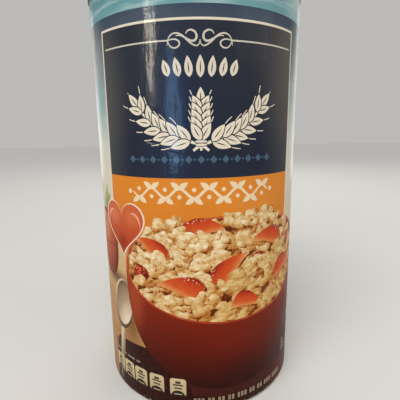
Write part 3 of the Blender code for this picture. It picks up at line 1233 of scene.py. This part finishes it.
def draw_heap(sheet):
    """The oats with the fruit and the berries among them, drawn from the back to the front."""
    rng = random.Random(41)
    heap = [(u, heap_top(u) - 2.5) for u in range(-46, 82, 4)]
    heap += [(80.0, 80.0), (60.0, 62.0), (18.0, 56.0), (-25.0, 62.0), (-46.0, 80.0)]
    sheet.paint("oat_shade", heap)
    items = [(clot[1], draw_clot, clot) for clot in place_clots(rng)]
    items += [(fruit[1] - 3.5, draw_fruit, fruit) for fruit in FRUIT]
    items += [(berry[1] + 0.5, draw_berry, berry) for berry in BERRIES]
    items.sort(key=lambda item: -item[0])
    for _, draw, values in items:
        draw(sheet, *values, rng)


def draw_bowl(sheet):
    """A bowl of oats and cut fruit: far rim, heap, foot, near side and its lip."""
    sheet.paint("bowl_lip", oval(BOWL_U, BOWL_RIM_Z, BOWL_HALF, BOWL_RIM_HALF, steps=72))
    sheet.paint("bowl_inside", oval(BOWL_U, BOWL_RIM_Z - 0.3, BOWL_HALF - BOWL_LIP,
                                    BOWL_RIM_HALF - BOWL_LIP * 0.6, steps=72))
    draw_heap(sheet)
    foot = [(27.0, 19.0), (24.0, 11.4), (10.0, 9.6)]
    sheet.paint("bowl_foot", [(BOWL_U - u, z) for u, z in foot]
                + [(BOWL_U + u, z) for u, z in foot[::-1]])
    sheet.paint("bowl_body", bowl_body())
    lip_line = oval(BOWL_U, BOWL_RIM_Z - 0.7, BOWL_HALF - 0.9, BOWL_RIM_HALF - 0.3, 0.0, 64,
                    math.pi + 0.02, TAU - 0.02)
    sheet.paint_all("bowl_lip", pen(lip_line, 0.6, 1.15))


def draw_mat(sheet):
    """A dark mat across the front, with a frayed edge at each side."""
    edge = curve_through([(-66.5, LABEL_FOOT), (-66.0, 14.0), (-65.2, 26.0), (-63.6, 33.0),
                          (-59.5, 36.0), (-50.0, 36.6), (-20.0, 38.0), (30.0, 40.0),
                          (70.0, 39.5), (84.0, 37.0), (88.5, 31.0), (90.0, 14.0),
                          (90.6, LABEL_FOOT)], 6)
    sheet.paint("dark_mat", edge)
    rng = random.Random(5)
    for side, near in ((-1.0, 65.6), (1.0, 89.6)):
        z = LABEL_FOOT + 1.0
        while z < 32.0:
            sheet.paint("dark_mat", leaf(side * (near - 1.0), z, rng.uniform(2.6, 3.8), 0.8,
                                         math.pi * (side < 0.0) + rng.uniform(-0.2, 0.2), 4))
            z += rng.uniform(0.9, 1.5)


def draw_pot(sheet):
    """A clay pot with two bands and a sprig of leaves."""
    for heading, length in ((1.2, 15.0), (1.75, 17.0), (2.2, 13.0), (0.85, 12.0), (1.5, 20.0)):
        u, z = POT_U, POT_Z + 38.0
        middle = (u + math.cos(heading) * length / 2, z + math.sin(heading) * length / 2)
        sheet.paint("herb_sprig", leaf(u, z, length, 4.6, heading),
                    (*middle, length / 2, 2.3, heading, False), (heading / 2.5, 0.5))
    side = curve_through([(4.2, 0.0), (7.6, 3.0), (10.4, 9.0), (11.6, 17.0), (11.2, 25.0),
                          (9.2, 32.0), (7.4, 36.0), (7.6, 39.0), (9.0, 41.5)], 4)
    outline = [(POT_U + x, POT_Z + y) for x, y in side]
    outline += [(POT_U - x, POT_Z + y) for x, y in side[::-1]]
    sheet.paint("clay_pot", outline, (POT_U, POT_Z + 19.0, 12.5, 24.0, 0.0, False))
    for lift, half_long, half_wide, thin, thick in ((40.6, 8.6, 1.3, 0.7, 0.9),
                                                    (22.0, 11.3, 2.2, 0.5, 0.7)):
        sheet.paint_all("clay_pot_bands", pen(
            oval(POT_U, POT_Z + lift, half_long, half_wide, 0.0, 20, math.pi, TAU), thin, thick))


def draw_spoon(sheet):
    """A spoon, its bowl up and its handle down. The hollow is lit the other way round."""
    handle = curve_through([(-56.0, 46.0), (-56.6, 36.0), (-58.2, 24.0), (-60.6, 12.0),
                            (-62.4, 2.2)], 6)
    sheet.paint_all("spoon", pen(handle, 4.2, 5.2),
                    form=(-57.6, 30.0, 30.0, 3.0, SPOON_TILT, False))
    sheet.paint("spoon", oval(-54.2, 60.0, 17.0, 10.2, SPOON_TILT, 36),
                (-54.2, 60.0, 18.5, 11.4, SPOON_TILT, False))
    sheet.paint("spoon_hollow", oval(-53.6, 60.8, 15.0, 8.6, SPOON_TILT, 32),
                (-53.6, 60.8, -18.5, -11.0, SPOON_TILT, False))


def draw_tabs(sheet):
    """Five small cream tabs with plain bars, and rows of plain bars round them."""
    foot, head, width = 10.2, 21.8, 9.8
    for left in (-67.0, -56.3, -45.6, -33.8, -20.2):
        middle = left + width / 2.0
        sheet.paint("tabs", rounded_box(left, foot, left + width, head, 1.8))
        sheet.paint("tab_feet", oval(middle, foot, 4.2, 3.6, 0.0, 16, 0.0, math.pi))
        for drop, half, thick in ((1.8, 1.6, 1.7), (3.9, 3.1, 1.0), (6.0, 2.4, 1.0)):
            top = head - drop
            sheet.paint("tab_bars", rectangle(middle - half, top - thick, middle + half, top))
        sheet.paint("tabs", rectangle(middle - 2.4, foot + 0.9, middle + 2.4, foot + 1.5))
    bars = ((-66.0, 12.0), (-52.5, 7.0), (-44.0, 3.0))
    sheet.paint_all("small_bars", [rectangle(left, 24.9, left + width, 26.1)
                                   for left, width in bars])
    u = -6.0
    for count in (3, 2, 2, 2, 3, 2, 2, 3, 4):
        for _ in range(count):
            sheet.paint("small_bars", rectangle(u, 6.0, u + 1.5, 9.4))
            u += 2.3
        u += 1.5
    for row in range(4):
        sheet.paint("small_bars", rectangle(62.0, 19.0 + row * 2.4, 68.0 - row * 0.8,
                                            20.1 + row * 2.4))


def draw_info_panel(sheet):
    """Left rear: a cream panel ruled off like a table of plain bars."""
    left, right, foot, head = -REAR_FAR, -REAR_NEAR, REAR_FOOT, REAR_HEAD
    sheet.paint("info_rules", rounded_box(left, foot, right, head, 2.0))
    sheet.paint("info_ground", rounded_box(left + 0.8, foot + 0.8, right - 0.8, head - 0.8, 1.4))
    sheet.paint("info_rules", rectangle(left + 5.0, head - 13.0, left + 46.0, head - 6.5))
    rows = 19
    rng = random.Random(7)
    for row in range(rows):
        z = head - 21.0 - row * 8.2
        thick = 2.0 if row in (0, 5, 14) else 0.5
        sheet.paint("info_rules", rectangle(left + 5.0, z, right - 5.0, z + thick))
        if row < rows - 1:
            indent = 4.0 if row in (2, 3, 7, 8, 11) else 0.0
            length = rng.uniform(16.0, 34.0)
            sheet.paint("info_rules", rectangle(left + 5.0 + indent, z - 5.2,
                                                left + 5.0 + indent + length, z - 2.8))
            sheet.paint("info_rules", rectangle(right - 5.0 - rng.uniform(5.0, 9.0), z - 5.2,
                                                right - 5.0, z - 2.8))


def draw_rear_panel(sheet):
    """Right rear: navy panel in a keyline with an orange head, steps and small bowls."""
    left, right, foot, head = REAR_NEAR, REAR_FAR, REAR_FOOT, REAR_HEAD
    sheet.paint("keyline", rounded_box(left, foot, right, head, 2.0))
    sheet.paint("navy_panel", rounded_box(left + 1.2, foot + 1.2, right - 1.2, head - 1.2, 1.2))
    sheet.paint("orange_band", rectangle(left + 1.2, head - 26.0, right - 1.2, head - 12.0))
    middle = (left + right) / 2.0
    for index in range(-4, 5):
        draw_grain(sheet, "band_vine", "orange_band", middle + index * 7.0 - 2.8, head - 19.0,
                   5.6, 3.0, 0.0)
    rng = random.Random(19)
    for step in range(3):
        top = head - 36.0 - step * 44.0
        draw_small_bowl(sheet, left + 19.0, top - 19.0, step)
        for row in range(5):
            length = rng.uniform(24.0, 33.0) if row < 4 else 15.0
            sheet.paint("rule_scrolls", rectangle(left + 38.0, top - 6.0 - row * 6.0,
                                                  left + 38.0 + length, top - 4.2 - row * 6.0))
        if step < 2:
            sheet.paint("rule_scrolls", rectangle(left + 6.0, top - 38.4, right - 6.0,
                                                  top - 37.9))


def draw_small_bowl(sheet, u, z, step):
    """A plain bowl in two fields; the first is empty, the next are filled higher."""
    sheet.paint("keyline", oval(u, z + 6.0, 13.0, 4.2, steps=28))
    sheet.paint("orange_band", oval(u, z + 6.0, 11.6, 3.3, steps=28))
    if step:
        rise = 3.0 * step
        fill = oval(u, z + 5.6, 11.0, 2.9 + rise, 0.0, 20, 0.0, math.pi)
        sheet.paint("keyline", fill + oval(u, z + 5.6, 11.0, 2.6, 0.0, 20, math.pi, TAU)[1:-1])
    body = oval(u, z + 6.0, 13.0, 4.2, 0.0, 20, math.pi, TAU)
    body += oval(u, z + 6.0, 13.0, 15.0, 0.0, 24, 0.0, -math.pi)[1:-1]
    sheet.paint("orange_band", body)
    sheet.paint("keyline", rectangle(u - 5.0, z - 10.2, u + 5.0, z - 8.6))


def draw_sheet():
    """All that is printed, in the order in which it is painted."""
    sheet = Sheet()
    for draw in (draw_panel, draw_rule_scrolls, draw_grain_row, draw_oat_ears, draw_lozenge_row,
                 draw_band_vine, draw_mat, draw_pot, draw_spoon, draw_bowl, draw_heart, draw_tabs,
                 draw_info_panel, draw_rear_panel):
        draw(sheet)
    return sheet


# Each field of ink in its order as a piece: a colour, or the function that wires one
INKS = {
    "wrap_ground": ground_ink,
    "sky_band": sky_ink,
    "keyline": srgb(228, 218, 198),
    "orange_band": orange_ink,
    "navy_panel": navy_ink,
    "rule_scrolls": srgb(206, 200, 186),
    "grain_row": srgb(224, 213, 194),
    "oat_ears": srgb(230, 219, 198),
    "lozenge_row": srgb(72, 98, 118),
    "band_vine": srgb(236, 214, 178),
    "dark_mat": mat_ink,
    "clay_pot": pot_ink,
    "clay_pot_bands": srgb(112, 48, 32),
    "herb_sprig": sprig_ink,
    "spoon": steel_ink,
    "spoon_hollow": steel_ink,
    "bowl_lip": lip_ink,
    "bowl_inside": bowl_inside_ink,
    "bowl_body": bowl_ink,
    "bowl_foot": srgb(64, 22, 14),
    "oat_shade": oat_shade_ink,
    "oat_flakes": flake_ink,
    "fruit_slices": fruit_ink,
    "berries": berry_ink,
    "heart_edge": srgb(234, 216, 194),
    "heart_badge": heart_ink,
    "heart_shine": srgb(240, 170, 142),
    "tabs": tab_ink,
    "tab_feet": srgb(44, 34, 28),
    "tab_bars": srgb(70, 58, 46),
    "small_bars": srgb(150, 134, 112),
    "info_ground": srgb(232, 226, 212),
    "info_rules": srgb(44, 48, 60),
}


# Making the pieces


def make_wrap():
    """One piece for each field of ink that shows."""
    sheet = draw_sheet()
    points, fields = sheet.cut()
    return [raise_piece(name, fields[name], points, sheet.shapes,
                        printed(name.replace("_", " ") + " ink", ink))
            for name, ink in INKS.items() if name in fields]


def make_smooth_piece(name, points, faces, sharp_degrees, material):
    mesh = bpy.data.meshes.new(name)
    mesh.from_pydata(points, [], faces)
    mesh.shade_smooth()
    mesh.set_sharp_from_angle(angle=math.radians(sharp_degrees))
    return link_object(name, mesh, material)


def make_paper_core(material):
    """The paper under the ink: a thin sheet whose cut foot and lapped end show."""
    inner = LABEL_RADIUS - PAPER_THICKNESS
    points, faces = [], []
    for column in range(SHEET_COLUMNS + 1):
        u = -HALF_TURN + 2.0 * HALF_TURN * column / SHEET_COLUMNS
        outer = wrap_radius(u) - INK_THICKNESS
        for radius, z in ((outer, LABEL_FOOT), (outer, LABEL_HEAD), (inner, LABEL_HEAD),
                          (inner, LABEL_FOOT)):
            points.append((*round_tube(u, radius), z * MM))
    for column in range(SHEET_COLUMNS):
        here, after = column * 4, column * 4 + 4
        for side in range(4):
            beside = (side + 1) % 4
            faces.append((here + side, after + side, after + beside, here + beside))
    last = SHEET_COLUMNS * 4
    faces.append((0, 1, 2, 3))
    faces.append((last + 3, last + 2, last + 1, last))
    return make_smooth_piece("paper_core", points, faces, 35.0, material)


def make_turned(name, profile, material, sides):
    """A turned piece. The profile runs from one point of the axis to the other, in metres."""
    points, faces, rings = [], [], []
    for radius, height in profile:
        if radius < 1e-7:
            rings.append([len(points)])
            points.append((0.0, 0.0, height))
        else:
            rings.append(list(range(len(points), len(points) + sides)))
            points.extend((radius * math.cos(TAU * side / sides),
                           radius * math.sin(TAU * side / sides), height)
                          for side in range(sides))
    for lower, upper in zip(rings, rings[1:]):
        for side in range(sides):
            after = (side + 1) % sides
            if len(lower) == 1:
                faces.append((lower[0], upper[after], upper[side]))
            elif len(upper) == 1:
                faces.append((lower[side], lower[after], upper[0]))
            else:
                faces.append((lower[side], lower[after], upper[after], upper[side]))
    return make_smooth_piece(name, points, faces, 40.0, material)


def arc(centre_r, centre_z, radius, start_deg, end_deg, steps):
    """Points of a rounded corner of a profile, from one angle to the other."""
    angles = [math.radians(start_deg + (end_deg - start_deg) * step / steps)
              for step in range(steps + 1)]
    return [(centre_r + radius * math.cos(angle), centre_z + radius * math.sin(angle))
            for angle in angles]


def lid_profile():
    """Underside centre, down inside the skirt, up outside it, over the rim to the panel."""
    underside = TUBE_TOP + LID_CLEARANCE
    inside = LID_RADIUS - LID_WALL
    skirt = LID_RADIUS - SKIRT_BEAD_OUT
    bead_top = LID_FOOT + SKIRT_BEAD_HEIGHT
    rim_inside = skirt - STACKING_RIM_WIDTH
    corner_z = LID_TOP - LID_CORNER
    panel = LID_TOP - STACKING_RIM_HEIGHT
    profile = [(0.0, underside), (inside, underside), (inside, LID_FOOT + SKIRT_CHAMFER),
               (inside + SKIRT_CHAMFER, LID_FOOT)]
    profile += arc(LID_RADIUS - LID_FILLET, LID_FOOT + LID_FILLET, LID_FILLET, -90.0, 0.0, 4)
    profile += [(LID_RADIUS, bead_top - 0.0002),
                (LID_RADIUS - SKIRT_BEAD_OUT / 2.0, bead_top + 0.0001),
                (skirt, bead_top + 0.0004)]
    profile += arc(skirt - LID_CORNER, corner_z, LID_CORNER, 0.0, 90.0, 6)
    profile += arc(rim_inside + LID_CORNER, corner_z, LID_CORNER, 90.0, 180.0, 6)
    profile += arc(rim_inside - LID_FILLET, panel + LID_FILLET, LID_FILLET, 0.0, -90.0, 4)
    ring = ((PANEL_RING_HALF + 0.0005, 0.0), (PANEL_RING_HALF, 0.8 * PANEL_RING_HEIGHT),
            (PANEL_RING_HALF - 0.0003, PANEL_RING_HEIGHT))
    profile += [(PANEL_RING_RADIUS + out, panel + lift) for out, lift in ring]
    profile += [(PANEL_RING_RADIUS - out, panel + lift) for out, lift in ring[::-1]]
    dish = panel - DISH_DEPTH
    profile += [(DISH_OUT, panel), (DISH_OUT - DISH_SLOPE, dish), (DISH_IN, dish),
                (DISH_IN - DISH_SLOPE, panel)]
    return profile + [(radius, panel + lift) for radius, lift in GATE_MARK]


def finish_boards():
    """Better finishes for the solids of the model that stay in view."""
    for node, material in (
            ("tube", board_material("tube board", srgb(196, 178, 148), TUBE_RING_RADIUS)),
            ("base_disc", board_material("end board", srgb(206, 194, 170), DISC_RING_RADIUS))):
        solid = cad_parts[node]
        if not solid.material_slots:
            solid.data.materials.append(material)
        for slot in solid.material_slots:
            slot.material = material


# Stage


def soft_light(name, place, aim_height, size, power, colour, shine_only):
    """An area light that looks at the canister's axis."""
    data = bpy.data.lights.new(name, "AREA")
    data.shape = "ELLIPSE" if shine_only else "RECTANGLE"
    data.size, data.size_y = size
    data.energy = power
    data.color = colour
    light = bpy.data.objects.new(name, data)
    light.location = place
    ahead = Vector((0.0, 0.0, aim_height)) - Vector(place)
    light.rotation_euler = ahead.to_track_quat("-Z", "Y").to_euler()
    light.visible_camera = False
    light.visible_diffuse = not shine_only
    bpy.context.scene.collection.objects.link(light)


# Name, place, height looked at, size, watts, colour, and whether the light is for shine only.
# The strips give the upright highlights on the varnish, and the edge panels its pale edges.
LIGHTS = (
    ("key", (-0.55, -0.75, 0.95), 0.14, (0.7, 0.7), 4.6, (1.0, 0.97, 0.92), False),
    ("fill", (0.9, -0.5, 0.75), 0.12, (0.8, 0.8), 2.7, (1.0, 0.95, 0.87), False),
    ("back", (0.2, 0.9, 0.9), 0.12, (0.8, 0.8), 3.4, (1.0, 0.98, 0.95), False),
    ("tall strip", (-0.612, -0.567, 0.362), 0.20, (0.065, 0.24), 3.1, (1.0, 0.93, 0.74), True),
    ("cool strip", (-0.387, -0.808, 0.21), 0.17, (0.24, 0.34), 3.3, (0.30, 0.58, 1.0), True),
    ("edge panel", (-0.55, 0.80, 0.22), 0.12, (0.40, 0.60), 1.4, (1.0, 0.97, 0.90), True),
    ("edge panel", (0.55, 0.80, 0.22), 0.12, (0.40, 0.60), 1.4, (1.0, 0.97, 0.90), True),
)


def make_floor():
    size = 3.0
    mesh = bpy.data.meshes.new("floor")
    mesh.from_pydata([(-size, -size, 0.0), (size, -size, 0.0), (size, size, 0.0),
                      (-size, size, 0.0)], [], [(0, 1, 2, 3)])
    material, w, shader = start_material("pale floor")
    cloud = w.noise(w.model_place(), 4.0, 3.0)
    w.feed(shader.inputs["Base Color"], w.mix(cloud, srgb(208, 207, 204), srgb(214, 213, 210)))
    shader.inputs["Roughness"].default_value = 0.9
    shader.inputs["Specular IOR Level"].default_value = 0.0
    floor = link_object("floor", mesh, material)


def make_camera():
    """The photograph's view: a little above, turned a little to the left of the panel."""
    flat = math.cos(CAMERA_PITCH)
    turn = Matrix.Rotation(-CAMERA_TURN, 3, "Z")
    ahead = turn @ Vector((math.sin(CAMERA_PAN) * flat, math.cos(CAMERA_PAN) * flat,
                           -math.sin(CAMERA_PITCH)))
    right = turn @ Vector((math.cos(CAMERA_PAN), -math.sin(CAMERA_PAN), 0.0))
    up = right.cross(ahead)
    tilted_right = math.cos(CAMERA_ROLL) * right + math.sin(CAMERA_ROLL) * up
    tilted_up = -math.sin(CAMERA_ROLL) * right + math.cos(CAMERA_ROLL) * up
    place = turn @ Vector((0.0, -CAMERA_OUT, CAMERA_UP))
    data = bpy.data.cameras.new("camera")
    data.sensor_width = SENSOR
    data.lens = FOCAL_PIXELS / PHOTO_WIDTH * SENSOR
    data.clip_start = 0.01
    camera = bpy.data.objects.new("camera", data)
    rows = Matrix((tilted_right, tilted_up, -ahead)).transposed()
    camera.matrix_world = Matrix.Translation(place) @ rows.to_4x4()
    bpy.context.scene.collection.objects.link(camera)
    bpy.context.scene.camera = camera


def make_light():
    """A pale room, a broad light from above, and the area lights."""
    world = bpy.data.worlds.new("studio")
    bpy.context.scene.world = world
    world.use_nodes = True
    background = world.node_tree.nodes["Background"]
    background.inputs[0].default_value = (1.0, 0.985, 0.96, 1.0)
    w = Wiring(world.node_tree)
    seen = w.node("ShaderNodeLightPath").outputs["Is Camera Ray"]
    w.feed(background.inputs[1], w.blend(seen, 0.30, 0.50))
    sun = bpy.data.lights.new("overhead", "SUN")
    sun.energy = 1.5
    sun.angle = math.radians(50.0)
    overhead = bpy.data.objects.new("overhead", sun)
    overhead.rotation_euler = (math.radians(32.0), 0.0, math.radians(-20.0))
    bpy.context.scene.collection.objects.link(overhead)
    for light in LIGHTS:
        soft_light(*light)
    scene = bpy.context.scene
    scene.view_settings.view_transform = "Standard"
    scene.view_settings.look = "None"


def main():
    wrap = make_wrap()
    core = make_paper_core(paper_edge_material())
    for piece in wrap + [core]:
        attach(piece, "root")
        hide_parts("label")
    lid = make_turned("lid_cap", lid_profile(), lid_material(), LID_SIDES)
    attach(lid, "root")
    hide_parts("lid")
    finish_boards()
    make_floor()
    make_light()
    make_camera()


main()
